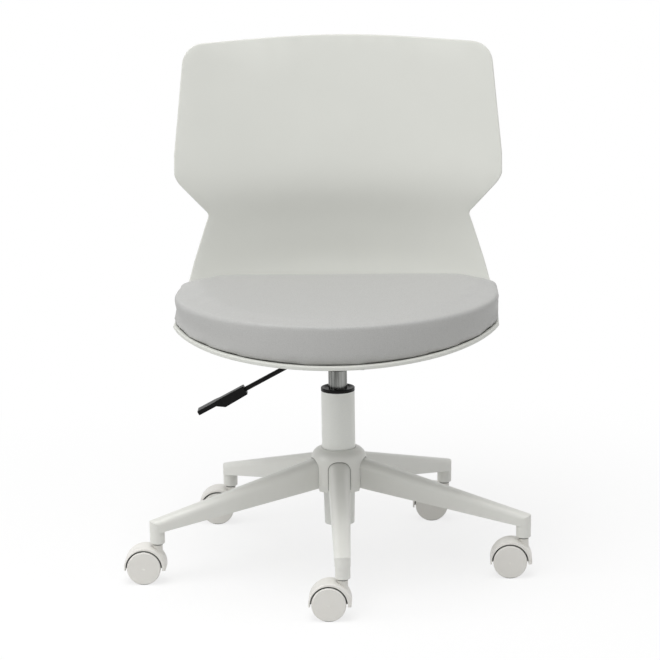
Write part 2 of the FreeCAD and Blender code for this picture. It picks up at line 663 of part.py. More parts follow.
def make_wheel(label):
    """A wheel turned about Z, its inner side at zero and its closed outer face above."""
    bore = "axle_radius + fit"
    rim_inner = "wheel_radius - wheel_rim"
    face = "wheel_width - wheel_face"
    shoulder = "wheel_radius - wheel_edge"
    return add_revolution(label, [
        (bore, "0"), ("wheel_hub_radius", "0"), ("wheel_hub_radius", face), (rim_inner, face),
        (rim_inner, "0"), (shoulder, "0"), ("wheel_radius", "wheel_edge"),
        ("wheel_radius", "wheel_width - wheel_edge"), (shoulder, "wheel_width"),
        ("0", "wheel_width + wheel_crown"), ("0", "wheel_width - wheel_face / 2"),
        (bore, "wheel_width - wheel_face / 2")])


def make_stem(label):
    neck = "stem_radius - stem_groove_depth"
    groove_top = "stem_groove + stem_groove_width"
    return add_revolution(label, [
        ("0", "stem_foot"), ("stem_radius", "stem_foot"), ("stem_radius", "stem_groove"),
        (neck, "stem_groove"), (neck, groove_top), ("stem_radius", groove_top),
        ("stem_radius", "stem_top - stem_tip"), ("stem_radius - stem_tip", "stem_top"), ("0", "stem_top")])


def make_axle(label):
    return add_revolution(label, [
        ("0", "-axle_half"), ("axle_radius", "-axle_half"), ("axle_radius", "axle_half"), ("0", "axle_half")])


def make_casters():
    along_y = Rotation(X_AXIS, -90)
    along_minus_y = Rotation(X_AXIS, 90)
    inner = number("web_half + wheel_gap")
    for i, angle in enumerate(leg_angles(), start=1):
        stem_place = Rotation(Z_AXIS, angle).multVec(Vector(number("leg_reach"), 0, 0))
        axle_place = stem_place + Vector(-number("trail"), 0, number("wheel_radius"))
        make_hood(f"caster_{i}_hood").Placement = Placement(stem_place, Rotation())
        make_stem(f"caster_{i}_stem").Placement = Placement(stem_place, Rotation())
        make_axle(f"caster_{i}_axle").Placement = Placement(axle_place, along_y)
        front = make_wheel(f"caster_{i}_wheel_front")
        front.Placement = Placement(axle_place - Y_AXIS * inner, along_minus_y)
        rear = make_wheel(f"caster_{i}_wheel_rear")
        rear.Placement = Placement(axle_place + Y_AXIS * inner, along_y)


# Seat plate, fasteners and height lever


def bolt_places():
    return [(x, y) for x in ("-bolt_x", "bolt_x") for y in ("-bolt_front", "bolt_rear")]


def add_bolt_circles(body, shift, *radii):
    sketch = new_sketch(body, "XY_Plane", shift)
    for x, y in bolt_places():
        for radius in radii:
            draw_circle(sketch, x, y, radius)
    return sketch


def make_plate():
    plate = new_body("mount_plate")
    sheet_metal = new_sketch(plate, "XY_Plane", "plate_foot")
    left, right = "-plate_half", "plate_half"
    front, rear = "-plate_front", "plate_rear"
    bend = "plate_corner"
    draw_outline(sheet_metal, [
        (f"{left} + {bend}", front), (f"{right} - {bend}", front, bend), (right, f"{front} + {bend}"),
        (right, f"{rear} - {bend}", bend), (f"{right} - {bend}", rear), (f"{left} + {bend}", rear, bend),
        (left, f"{rear} - {bend}"), (left, f"{front} + {bend}", bend)])
    add_pad(plate, sheet_metal, "plate_thickness")
    flanges = new_sketch(plate, "XY_Plane", "plate_foot")
    for low, high in ((left, f"{left} + plate_thickness"), (f"{right} - plate_thickness", right)):
        draw_rectangle(flanges, low, f"{front} + flange_inset", high, f"{rear} - flange_inset")
    add_pad(plate, flanges, "flange_height", backwards=True)
    add_pocket(plate, add_bolt_circles(plate, "plate_foot", "bolt_hole"), backwards=True)

    box = new_body("mechanism_box")
    walls = new_sketch(box, "XY_Plane", "box_floor")
    draw_rectangle(walls, "-box_left", "-box_half", "box_right", "box_half")
    add_pad(box, walls, "plate_foot - box_floor")
    inside = new_sketch(box, "XY_Plane", "box_floor + box_wall")
    left, right = "box_wall - box_left", "box_right - box_wall"
    draw_rectangle(inside, left, "box_wall - box_half", right, "box_half - box_wall")
    add_pocket(box, inside, backwards=True)
    seat_hole = new_sketch(box, "XY_Plane")
    draw_circle(seat_hole, "0", "0", "socket_wall_radius + press")
    add_pocket(box, seat_hole, backwards=True)
    slot = new_sketch(box, "YZ_Plane")
    draw_rectangle(slot, "-slot_half", "slot_foot", "slot_half", "slot_top")
    add_pocket(box, slot)
    ears = new_sketch(box, "XZ_Plane")
    draw_circle(ears, "-pivot_x", "pivot_z", "pivot_radius + press")
    add_pocket(box, ears, symmetric=True)

    nose = "cylinder_nose_radius + press"
    add_revolution("taper_socket", [
        ("cylinder_radius + press", "socket_seat"), ("socket_wall_radius", "socket_seat"),
        ("socket_wall_radius", "socket_rim"), (nose, "socket_rim"), (nose, "cylinder_top")])


def make_fasteners():
    bolts = new_body("plate_bolts", loose=True)
    head_foot = "plate_foot - washer_thickness - bolt_head_height"
    shanks = add_bolt_circles(bolts, head_foot, "bolt_radius")
    add_pad(bolts, shanks, f"bolt_top - ({head_foot})")
    heads = add_bolt_circles(bolts, head_foot, "bolt_head_radius")
    add_pad(bolts, heads, "bolt_head_height")
    washers = new_body("plate_washers", loose=True)
    rings = add_bolt_circles(washers, "plate_foot - washer_thickness", "washer_radius", "bolt_hole")
    add_pad(washers, rings, "washer_thickness")
    nuts = new_body("tee_nuts", loose=True)
    barrels = add_bolt_circles(nuts, "nut_barrel_foot", "nut_barrel_radius", "bolt_radius + press")
    add_pad(nuts, barrels, "nut_flange_foot + nut_flange_height - nut_barrel_foot")
    flanges = add_bolt_circles(nuts, "nut_flange_foot", "nut_flange_radius", "bolt_radius + press")
    add_pad(nuts, flanges, "nut_flange_height")


def make_lever():
    pivot = Vector(-number("pivot_x"), 0, number("pivot_z"))
    along_y = Rotation(X_AXIS, -90)
    pin = doc.addObject("Part::Cylinder", "lever_pivot_pin")
    bind(pin, "Radius", "pivot_radius")
    bind(pin, "Height", "2 * pivot_half")
    pin.Placement = Placement(pivot - Y_AXIS * number("pivot_half"), along_y)

    # The lever's own X runs outwards along the rod and its Z points down.
    outwards = Rotation(Y_AXIS, 180 - number("lever_slope"))
    rod = doc.addObject("Part::Cylinder", "lever_shaft")
    bind(rod, "Radius", "lever_radius")
    bind(rod, "Height", "lever_length")
    rod.Placement = Placement(pivot, outwards.multiply(Rotation(Y_AXIS, 90)))
    eye = doc.addObject("Part::Cylinder", "lever_eye")
    bind(eye, "Radius", "eye_radius")
    bind(eye, "Height", "2 * eye_half")
    eye.Placement = Placement(pivot - Y_AXIS * number("eye_half"), along_y)
    finger = doc.addObject("Part::Box", "lever_finger")
    bind(finger, "Length", "finger_reach")
    bind(finger, "Width", "2 * finger_half")
    bind(finger, "Height", "finger_height")
    finger.Placement = Placement(Vector(pivot.x, -number("finger_half"), number("finger_foot")), Rotation())
    solid = doc.addObject("Part::MultiFuse", "lever_solid")
    solid.Shapes = [rod, eye, finger]
    bore = doc.addObject("Part::Cylinder", "lever_bore")
    bind(bore, "Radius", "pivot_radius + fit")
    bind(bore, "Height", "2 * pivot_half")
    bore.Placement = pin.Placement
    lever = doc.addObject("Part::Cut", "lever_rod")
    lever.Base = solid
    lever.Tool = bore

    grip = new_body("lever_handle")
    side = new_sketch(grip, "XZ_Plane")
    draw_outline(side, [
        ("0", "-grip_top"), ("grip_length", "-grip_top"), ("grip_length", "grip_blade_base"),
        ("grip_blade", "grip_blade_base"), ("grip_step", "grip_step_base"), ("0", "grip_base")])
    add_pad(grip, side, "2 * grip_half", symmetric=True)
    neck = new_sketch(grip, "XY_Plane")
    draw_outline(neck, [
        ("0", "grip_neck_half"), ("grip_step", "grip_neck_half"), ("grip_blade", "grip_half"),
        ("0", "grip_half")])
    draw_outline(neck, [
        ("0", "-grip_half"), ("grip_blade", "-grip_half"), ("grip_step", "-grip_neck_half"),
        ("0", "-grip_neck_half")])
    add_pocket(grip, neck, symmetric=True)
    add_fillet(grip, "grip_round", lambda edge: edge.Length > number("grip_edge"))
    bore = new_sketch(grip, "YZ_Plane")
    draw_circle(bore, "0", "0", "lever_radius + press")
    add_pocket(grip, bore, "grip_bore", backwards=True)
    start = pivot + outwards.multVec(X_AXIS) * number("grip_start")
    grip.Placement = Placement(start, outwards)


# Shell and cushion


def rounded_wire(corners, place):
    """A closed wire of lines with an arc of the given radius in each corner (x, y, radius)."""
    points = [Vector(x, y, 0) for x, y, _ in corners]
    count = len(points)
    cuts = []
    arcs = []
    for i, (_, _, radius) in enumerate(corners):
        back = (points[i - 1] - points[i]).normalize()
        ahead = (points[(i + 1) % count] - points[i]).normalize()
        half_angle = back.getAngle(ahead) / 2
        reach = radius / math.tan(half_angle)
        middle = (back + ahead).normalize()
        start = points[i] + back * reach
        end = points[i] + ahead * reach
        top = points[i] + middle * (radius / math.sin(half_angle) - radius)
        cuts.append((start, end))
        arcs.append(Part.Arc(start, top, end).toShape() if radius else None)
    edges = []
    for i in range(count):
        if arcs[i]:
            edges.append(arcs[i])
        line_start = cuts[i][1]
        line_end = cuts[(i + 1) % count][0]
        if line_start.distanceToPoint(line_end) > 1e-6:
            edges.append(Part.makeLine(line_start, line_end))
    wire = Part.Wire(edges)
    wire.Placement = place
    return wire


def prism(wire, way):
    return Part.Face(wire).extrude(way)


def walk(place, heading, curvature, distance):
    """The point reached along an arc or, without curvature, a line in the YZ plane."""
    if not curvature:
        return place + Vector(0, math.cos(heading), math.sin(heading)) * distance
    end = heading + curvature * distance
    step = Vector(0, math.sin(end) - math.sin(heading), math.cos(heading) - math.cos(end))
    return place + step * (1 / curvature)


def profile_pieces():
    """Arcs and the line of the shell's profile: start, heading, curvature and length."""
    names = ("pan_front_angle", "pan_rear_angle", "corner_angle", "waist_angle", "back_angle", "back_angle")
    headings = [math.radians(number(name)) for name in names]
    turns = [end - start for start, end in zip(headings, headings[1:])]
    lengths = [
        number("pan_length"), number("corner_radius") * turns[1], number("hollow_radius") * turns[2],
        -number("lumbar_radius") * turns[3], number("back_length")]
    place = Vector(0, number("pan_front"), number("pan_front_z"))
    pieces = []
    for heading, turn, length in zip(headings, turns, lengths):
        pieces.append((place, heading, turn / length, length))
        place = walk(place, heading, turn / length, length)
    return pieces


def shell_stations():
    """Places evenly along the profile: point, heading and rise of the sides there."""
    pieces = profile_pieces()
    whole = sum(length for *_, length in pieces)
    wing_middle = pieces[0][3] + pieces[1][3]
    front, back = number("front_rise"), number("back_rise")
    count = round(whole / number("station_step"))
    stations = []
    for i in range(count + 1):
        reached = whole * i / count
        wing = math.exp(-(((reached - wing_middle) / number("wing_spread")) ** 2))
        rise = front + (back - front) * i / count + number("wing_rise") * wing
        rest = reached
        for place, heading, curvature, length in pieces:
            if rest <= length + 1e-6:
                break
            rest -= length
        stations.append((walk(place, heading, curvature, rest), heading + curvature * rest, rise))
    return stations


def band(stations, low, high):
    """A loft along the profile between two offsets on the sitter's side."""
    half = number("span_half")
    wires = []
    for place, angle, rise in stations:
        inward = Vector(0, -math.sin(angle), math.cos(angle))
        rails = []
        for offset in (high, low):
            middle = place + inward * offset
            ends = [middle + inward * rise + X_AXIS * x for x in (-half, half)]
            rails.append((ends[0], middle, ends[1]))
        upper = Part.Arc(*rails[0]).toShape()
        lower = Part.Arc(*rails[1]).toShape()
        right = Part.makeLine(rails[0][2], rails[1][2])
        left = Part.makeLine(rails[1][0], rails[0][0])
        wires.append(Part.Wire([upper, right, lower, left]))
    return Part.makeLoft(wires, True, False)


def seat_outline(radius, rear):
    """The seat's outline from above: a round front and straight sides back to a rear edge."""
    front = number("plan_centre") - radius
    corners = [(-radius, front, radius), (radius, front, radius), (radius, rear, 0), (-radius, rear, 0)]
    return rounded_wire(corners, Placement())


def back_outline():
    """The shell's outline from the front, in the XZ plane."""
    right = [
        ("wing_half", "tube_top", 0), ("wing_half", "wing_foot", "waist_round"),
        ("waist_half", "waist_z", "waist_round"), ("hip_half", "hip_z", "hip_round"),
        ("top_half", "top_corner_z", "top_round")]
    half = [(number(x), number(z), number(str(radius))) for x, z, radius in right]
    mirrored = [(-x, z, radius) for x, z, radius in reversed(half)]
    top = [(0, number("top_z"), number("top_arch"))]
    return rounded_wire(half + top + mirrored, Placement(Vector(), Rotation(X_AXIS, 90)))


def make_shell(stations):
    """The moulded shell: a band along the profile, cut to its two outlines, with bosses below."""
    deep = number("span_half") * 2
    far = number("top_z")
    shell = band(stations, -number("shell_wall"), 0)
    shell = shell.common(prism(back_outline().translated(Y_AXIS * deep), Y_AXIS * -2 * deep))
    shell = shell.common(prism(seat_outline(number("plan_radius"), deep), Z_AXIS * 2 * far))
    foot = number("plate_foot + plate_thickness")
    for x, y in bolt_places():
        place = Vector(number(x), number(y), foot)
        shell = shell.fuse(Part.makeCylinder(number("shell_boss_radius"), number("shell_boss_depth"), place))
    for x, y in bolt_places():
        place = Vector(number(x), number(y), foot)
        shell = shell.cut(Part.makeCylinder(number("bolt_hole"), deep, place))
    broad_faces = sorted(shell.Faces, key=lambda face: face.Area)[-2:]
    rim = [edge for face in broad_faces for edge in face.OuterWire.Edges]
    add_shape("seat_shell", shell.makeFillet(number("shell_round"), rim).Solids[0])


def pad_outline(height, inset):
    radius = number("pad_radius") - inset
    front = number("plan_centre") - radius
    corner_y = number("pad_corner_y") - inset
    corner = number("pad_corner_round")
    return rounded_wire([
        (-radius, front, radius), (radius, front, radius), (radius, corner_y, corner),
        (0, number("pad_rear_y") - inset, number("pad_rear_round")), (-radius, corner_y, corner)],
        Placement(Z_AXIS * height, Rotation()))


def board_layer(stations, low, high, margin):
    """A layer over the pan between two offsets, cut to the board's outline and a margin round it."""
    steepest = math.radians(number("board_angle"))
    pan = [station for station in stations if station[1] < steepest]
    outline = seat_outline(number("board_radius") + margin, number("board_rear") + margin)
    return band(pan, low, high).common(prism(outline, Z_AXIS * number("top_z")))


def make_cushion(stations):
    """The cushion on its board: layers lofted upwards, hollowed on top and laid in the shell."""
    lift = number("pad_lift")
    deep = number("span_half") * 2
    board_top = number("pad_lift + board_thickness")
    board = board_layer(stations, lift, board_top, 0)
    cushion = Part.makeLoft([pad_outline(height, inset) for height, inset in PAD_LAYERS], True, False)
    dish = number("pad_dish_radius")
    cushion = cushion.cut(Part.makeSphere(dish, Vector(0, number("pad_dish_y"), number("pad_dish_z") + dish)))
    cushion = cushion.cut(band(stations, -number("corner_radius"), lift))
    fit = number("fit")
    cushion = cushion.cut(board_layer(stations, -number("shell_wall"), board_top + fit, fit))
    room = number("nut_room")
    for x, y in bolt_places():
        place = Vector(number(x), number(y), number("plate_foot"))
        board = board.cut(Part.makeCylinder(number("board_hole"), deep, place))
        height = number("nut_flange_foot + nut_flange_height - plate_foot") + room
        cushion = cushion.cut(Part.makeCylinder(number("nut_flange_radius") + room, height, place))
    add_shape("cushion_board", board.Solids[0])
    add_shape("seat_cushion", max(cushion.Solids, key=lambda solid: solid.Volume))


# Every sub-part that is written as a file of its own.
CASTER_PIECES = ("hood", "stem", "axle", "wheel_front", "wheel_rear")
PARTS = [
    "hub_core", "hub_cover", *(f"leg_{i}" for i in range(1, LEG_COUNT + 1)), "stem_sleeves", "column_tube",
    "guide_bush", "bearing_lower_race", "bearing_balls", "bearing_upper_race", "piston_rod", "piston_head",
    "piston_seal", "rod_clip", "bottom_buffer", "gas_cylinder", "cylinder_gland", "release_pin",
    "mount_plate", "mechanism_box", "taper_socket", "plate_bolts", "plate_washers", "tee_nuts",
    "lever_pivot_pin", "lever_rod", "lever_handle", "seat_shell", "seat_cushion", "cushion_board",
    *(f"caster_{i}_{piece}" for i in range(1, LEG_COUNT + 1) for piece in CASTER_PIECES)]


def write_parts():
    doc.recompute()
    broken = [thing.Label for thing in doc.Objects if {"Invalid", "Error"} & set(thing.State)]
    if broken:
        raise ValueError(f"objects in error: {broken}")
    os.makedirs("parts", exist_ok=True)
    for label in PARTS:
        shape = doc.getObjectsByLabel(label)[0].Shape
        if shape.isNull() or not shape.isValid() or not shape.Solids:
            raise ValueError(f"{label} has no valid solid")
        shape.exportStep(f"parts/{label}.step")


make_column()
make_base()
make_casters()
make_plate()
make_fasteners()
make_lever()
profile = shell_stations()
make_shell(profile)
make_cushion(profile)
write_parts()
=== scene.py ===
# A pale swivel office chair in a white studio: finishes, seat shell, seat pad, light and camera round the
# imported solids. Metres, Z up, the sitter faces -Y.
import json
import math

import bmesh
import bpy
from mathutils import Matrix, Vector


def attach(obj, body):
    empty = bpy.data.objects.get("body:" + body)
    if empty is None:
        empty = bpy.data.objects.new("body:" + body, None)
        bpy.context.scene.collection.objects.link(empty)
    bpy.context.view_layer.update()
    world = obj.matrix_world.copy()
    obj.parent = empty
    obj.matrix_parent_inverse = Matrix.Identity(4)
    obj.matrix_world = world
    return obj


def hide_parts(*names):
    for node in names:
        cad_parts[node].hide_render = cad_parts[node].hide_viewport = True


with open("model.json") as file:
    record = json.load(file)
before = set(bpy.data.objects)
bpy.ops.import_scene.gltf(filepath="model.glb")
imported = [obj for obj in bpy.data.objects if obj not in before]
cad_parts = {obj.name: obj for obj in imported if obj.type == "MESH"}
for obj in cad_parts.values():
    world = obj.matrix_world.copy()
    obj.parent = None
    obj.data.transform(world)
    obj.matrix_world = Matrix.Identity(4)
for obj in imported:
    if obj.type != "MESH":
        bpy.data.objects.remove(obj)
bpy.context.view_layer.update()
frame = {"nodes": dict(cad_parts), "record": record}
MM = 0.001


# Finishes

# Real sizes of the patterns. The etched grains (0.2 mm), the pebbles (0.8 mm) and the drawing streaks (1 mm)
# are too fine to show at this distance, so they are drawn a few times coarser. The steel's streaks, drawn
# wider and longer, are also painted reflections.
POWDER_PEEL_MM = 2.5
POWDER_SPECK_MM = 1.2
POWDER_RELIEF_MM = 0.02
PEBBLE_MM = 1.8
PEBBLE_RELIEF_MM = 0.05
STREAK_AND_REFLECTION_MM = 5.0
STREAK_AND_REFLECTION_RUN_MM = 150
ZINC_CLOUD_MM = 2.0
GRAIN_RUN_MM = 60
GRAIN_LINE_MM = 1.5
GRAIN_RELIEF_MM = 0.04
PLY_MM = 1.4
# How far the roughness swings to each side over a pattern.
MOULD_GLOSS_SPREAD = 0.06
POWDER_GLOSS_SPREAD = 0.05
# Dust and painted shade darken the colour where the air within reach is closed off:
# fully at the first share of open air, not at the second.
DUST_AND_SHADE = "#8A8B86"
DUST_AND_SHADE_REACH_MM = 5.0
DUST_AND_SHADE_FULL, DUST_AND_SHADE_NONE = 0.15, 0.5


def linear(code):
    """The linear colour of an sRGB hex code."""
    channels = [int(code[i:i + 2], 16) / 255 for i in (1, 3, 5)]
    return [c / 12.92 if c <= 0.04045 else ((c + 0.055) / 1.055) ** 2.4 for c in channels] + [1.0]


def add_node(tree, kind, inputs=None, **settings):
    """A node with its settings; an input is a value, or the output that feeds it."""
    node = tree.nodes.new(kind)
    for name, value in settings.items():
        setattr(node, name, value)
    for name, value in (inputs or {}).items():
        if isinstance(value, bpy.types.NodeSocket):
            tree.links.new(value, node.inputs[name])
        else:
            node.inputs[name].default_value = value
    return node


def new_material(name, **shader_inputs):
    """An empty material with its shader, and the piece's own coordinates in metres."""
    material = bpy.data.materials.new(name)
    material.use_nodes = True
    tree = material.node_tree
    tree.nodes.clear()
    shader = add_node(tree, "ShaderNodeBsdfPrincipled", shader_inputs)
    add_node(tree, "ShaderNodeOutputMaterial", {"Surface": shader.outputs["BSDF"]})
    place = add_node(tree, "ShaderNodeTexCoord").outputs["Object"]
    return material, tree, shader, place


def moulded(name, pale, deep, cloud_mm, grain_mm, relief_mm, rough, **shader_inputs):
    """A moulded plastic: faint clouds of flow, the mould's etched grain, and dust and painted shade in the
    joints.
    """
    material, tree, shader, place = new_material(name, **shader_inputs)
    clouds = add_node(tree, "ShaderNodeTexNoise", {
        "Vector": place, "Scale": 1 / (cloud_mm * MM), "Detail": 2.0, "Roughness": 0.5})
    clean = add_node(tree, "ShaderNodeMix", {
        "Factor": clouds.outputs["Fac"], "A": linear(deep), "B": linear(pale)}, data_type="RGBA")
    # Painted shade with dust: ambient occlusion darkens the colour in joints and crevices, on top of the
    # rendered shade.
    open_air = add_node(tree, "ShaderNodeAmbientOcclusion", {"Distance": DUST_AND_SHADE_REACH_MM * MM}, samples=8)
    dust_and_shade_share = add_node(tree, "ShaderNodeMapRange", {
        "Value": open_air.outputs["AO"], "From Min": DUST_AND_SHADE_FULL, "From Max": DUST_AND_SHADE_NONE},
        interpolation_type="SMOOTHSTEP")
    tint = add_node(tree, "ShaderNodeMix", {
        "Factor": dust_and_shade_share.outputs["Result"], "A": linear(DUST_AND_SHADE), "B": clean.outputs["Result"]},
        data_type="RGBA")
    grain = add_node(tree, "ShaderNodeTexNoise", {
        "Vector": place, "Scale": 1 / (grain_mm * MM), "Detail": 3.0, "Roughness": 0.6})
    gloss = add_node(tree, "ShaderNodeMapRange", {
        "Value": grain.outputs["Fac"],
        "To Min": rough - MOULD_GLOSS_SPREAD, "To Max": rough + MOULD_GLOSS_SPREAD})
    relief = add_node(tree, "ShaderNodeBump", {"Height": grain.outputs["Fac"], "Distance": relief_mm * MM})
    tree.links.new(tint.outputs["Result"], shader.inputs["Base Color"])
    tree.links.new(gloss.outputs["Result"], shader.inputs["Roughness"])
    tree.links.new(relief.outputs["Normal"], shader.inputs["Normal"])
    return material


def powder_coated(name, pale, deep, rough, **shader_inputs):
    """Baked powder on steel: the shallow waves of orange peel, and specks where grains of powder melted."""
    material, tree, shader, place = new_material(name, **shader_inputs)
    peel = add_node(tree, "ShaderNodeTexNoise", {
        "Vector": place, "Scale": 1 / (POWDER_PEEL_MM * MM), "Detail": 1.0, "Roughness": 0.4})
    specks = add_node(tree, "ShaderNodeTexVoronoi", {"Vector": place, "Scale": 1 / (POWDER_SPECK_MM * MM)})
    tint = add_node(tree, "ShaderNodeMix", {
        "Factor": specks.outputs["Distance"], "A": linear(pale), "B": linear(deep)}, data_type="RGBA")
    gloss = add_node(tree, "ShaderNodeMapRange", {
        "Value": peel.outputs["Fac"],
        "To Min": rough - POWDER_GLOSS_SPREAD, "To Max": rough + POWDER_GLOSS_SPREAD})
    relief = add_node(tree, "ShaderNodeBump", {
        "Height": peel.outputs["Fac"], "Distance": POWDER_RELIEF_MM * MM})
    tree.links.new(tint.outputs["Result"], shader.inputs["Base Color"])
    tree.links.new(gloss.outputs["Result"], shader.inputs["Roughness"])
    tree.links.new(relief.outputs["Normal"], shader.inputs["Normal"])
    return material


def coated_cloth():
    """Coated upholstery: small pebbles with shallow creases between them, as the hot roller embossed them."""
    material, tree, shader, place = new_material("coated_upholstery", IOR=1.5)
    wander = add_node(tree, "ShaderNodeTexNoise", {
        "Vector": place, "Scale": 1 / (3 * PEBBLE_MM * MM), "Detail": 2.0})
    shift = add_node(tree, "ShaderNodeVectorMath", {
        0: wander.outputs["Color"], 1: (PEBBLE_MM * MM,) * 3, 2: place}, operation="MULTIPLY_ADD")
    pebbles = add_node(tree, "ShaderNodeTexVoronoi", {
        "Vector": shift.outputs["Vector"], "Scale": 1 / (PEBBLE_MM * MM)}, feature="DISTANCE_TO_EDGE")
    height = add_node(tree, "ShaderNodeMapRange", {
        "Value": pebbles.outputs["Distance"], "From Max": 0.25}, interpolation_type="SMOOTHSTEP")
    # Painted shade: the creases between the pebbles are coloured a little darker than their tops.
    tint = add_node(tree, "ShaderNodeMix", {
        "Factor": height.outputs["Result"], "A": linear("#B1B1AF"), "B": linear("#B9B9B7")}, data_type="RGBA")
    gloss = add_node(tree, "ShaderNodeMapRange", {
        "Value": height.outputs["Result"], "To Min": 0.62, "To Max": 0.5})
    relief = add_node(tree, "ShaderNodeBump", {
        "Height": height.outputs["Result"], "Distance": PEBBLE_RELIEF_MM * MM})
    tree.links.new(tint.outputs["Result"], shader.inputs["Base Color"])
    tree.links.new(gloss.outputs["Result"], shader.inputs["Roughness"])
    tree.links.new(relief.outputs["Normal"], shader.inputs["Normal"])
    return material


def drawn_metal():
    """Cold-drawn steel tube: dark and light streaks along its length, die marks and painted reflections in
    one.
    """
    material, tree, shader, place = new_material("drawn_steel", Metallic=1.0)
    along = add_node(tree, "ShaderNodeMapping", {
        "Vector": place, "Scale": (1 / (STREAK_AND_REFLECTION_MM * MM), 1 / (STREAK_AND_REFLECTION_MM * MM), 1 / (STREAK_AND_REFLECTION_RUN_MM * MM))})
    streaks_and_reflections = add_node(tree, "ShaderNodeTexNoise", {
        "Vector": along.outputs["Vector"], "Scale": 1.0, "Detail": 2.0, "Roughness": 0.6})
    strong = add_node(tree, "ShaderNodeMapRange", {
        "Value": streaks_and_reflections.outputs["Fac"], "From Min": 0.3, "From Max": 0.7}, interpolation_type="SMOOTHSTEP")
    # Painted reflection: the dark and light streaks in the colour stand in for the surroundings mirrored in
    # the steel, as well as die marks.
    tint = add_node(tree, "ShaderNodeMix", {
        "Factor": strong.outputs["Result"], "A": linear("#51524F"), "B": linear("#A3A4A1")}, data_type="RGBA")
    gloss = add_node(tree, "ShaderNodeMapRange", {
        "Value": strong.outputs["Result"], "To Min": 0.22, "To Max": 0.34})
    tree.links.new(tint.outputs["Result"], shader.inputs["Base Color"])
    tree.links.new(gloss.outputs["Result"], shader.inputs["Roughness"])
    return material


def zinc_plated():
    """Zinc plate with a clear passivation: a cool, dull metal in small clouds from the plating bath."""
    material, tree, shader, place = new_material("zinc_plated_steel", Metallic=1.0)
    clouds = add_node(tree, "ShaderNodeTexNoise", {
        "Vector": place, "Scale": 1 / (ZINC_CLOUD_MM * MM), "Detail": 4.0})
    tint = add_node(tree, "ShaderNodeMix", {
        "Factor": clouds.outputs["Fac"], "A": linear("#9A9EA2"), "B": linear("#B2B3AE")}, data_type="RGBA")
    gloss = add_node(tree, "ShaderNodeMapRange", {
        "Value": clouds.outputs["Fac"], "To Min": 0.32, "To Max": 0.46})
    tree.links.new(tint.outputs["Result"], shader.inputs["Base Color"])
    tree.links.new(gloss.outputs["Result"], shader.inputs["Roughness"])
    return material


def birch_plywood():
    """Sanded birch plywood: long grain on the faces, and pale and brown layers in turn round the edge."""
    material, tree, shader, place = new_material("birch_plywood", IOR=1.5)
    along = add_node(tree, "ShaderNodeMapping", {
        "Vector": place,
        "Scale": (1 / (GRAIN_RUN_MM * MM), 1 / (GRAIN_LINE_MM * MM), 1 / (GRAIN_LINE_MM * MM))})
    grain = add_node(tree, "ShaderNodeTexNoise", {
        "Vector": along.outputs["Vector"], "Scale": 1.0, "Detail": 4.0})
    face = add_node(tree, "ShaderNodeMix", {
        "Factor": grain.outputs["Fac"], "A": linear("#B99765"), "B": linear("#D2B78C")}, data_type="RGBA")
    layers = add_node(tree, "ShaderNodeTexWave", {
        "Vector": place, "Scale": math.pi / (10 * PLY_MM * MM), "Distortion": 0.4, "Detail": 1.0},
        bands_direction="Z")
    edge = add_node(tree, "ShaderNodeMix", {
        "Factor": layers.outputs["Fac"], "A": linear("#9C7745"), "B": linear("#CDB084")}, data_type="RGBA")
    facing = add_node(tree, "ShaderNodeNewGeometry").outputs["Normal"]
    upright = add_node(tree, "ShaderNodeSeparateXYZ", {"Vector": facing})
    level = add_node(tree, "ShaderNodeMath", {0: upright.outputs["Z"]}, operation="ABSOLUTE")
    tint = add_node(tree, "ShaderNodeMix", {
        "Factor": level.outputs[0], "A": edge.outputs["Result"], "B": face.outputs["Result"]},
        data_type="RGBA")
    gloss = add_node(tree, "ShaderNodeMapRange", {
        "Value": grain.outputs["Fac"], "To Min": 0.68, "To Max": 0.56})
    relief = add_node(tree, "ShaderNodeBump", {
        "Height": grain.outputs["Fac"], "Distance": GRAIN_RELIEF_MM * MM})
    tree.links.new(tint.outputs["Result"], shader.inputs["Base Color"])
    tree.links.new(gloss.outputs["Result"], shader.inputs["Roughness"])
    tree.links.new(relief.outputs["Normal"], shader.inputs["Normal"])
    return material


# Polypropylene, moulded in an etched mould: dull and even, with a soft highlight along the bends.
shell_plastic = moulded(
    "moulded_polypropylene", "#D9DAD4", "#D5D6D0", cloud_mm=90, grain_mm=0.9, relief_mm=0.03, rough=0.5,
    IOR=1.49)
# Glass-filled nylon, moulded smooth: harder and glossier than the shell, with bright bands along the legs.
base_nylon = moulded(
    "glass_filled_nylon", "#E4E4DF", "#E0E0DA", cloud_mm=40, grain_mm=0.8, relief_mm=0.02, rough=0.34,
    IOR=1.53)
# Unfilled nylon, moulded smooth: a warmer white with a waxy shine on the wheels.
caster_nylon = moulded(
    "caster_nylon", "#E8E6E1", "#E4E2DC", cloud_mm=25, grain_mm=0.7, relief_mm=0.015, rough=0.4, IOR=1.53)
# Acetal with carbon black, moulded: a deep, dull black.
black_plastic = moulded(
    "black_acetal", "#0D0D0D", "#080808", cloud_mm=20, grain_mm=0.7, relief_mm=0.02, rough=0.36,
    **{"IOR": 1.48, "Specular IOR Level": 0.15})
# Carbon-black rubber, moulded: the dullest black, with hardly any highlight.
black_rubber = moulded(
    "black_rubber", "#131313", "#0E0E0E", cloud_mm=15, grain_mm=0.8, relief_mm=0.03, rough=0.75,
    **{"IOR": 1.52, "Specular IOR Level": 0.3})
# White polyester powder on the column tube: satin, slightly uneven in its highlight.
painted_steel = powder_coated("powder_coated_steel", "#EEEFEA", "#E8E9E4", rough=0.38, IOR=1.5)
# Black polyester powder on the brackets and the lever rod.
black_steel = powder_coated(
    "black_powder_coat", "#0D0D0D", "#080808", rough=0.42, **{"IOR": 1.5, "Specular IOR Level": 0.15})
pad_cover = coated_cloth()
bare_steel = drawn_metal()
zinc_steel = zinc_plated()
plywood = birch_plywood()

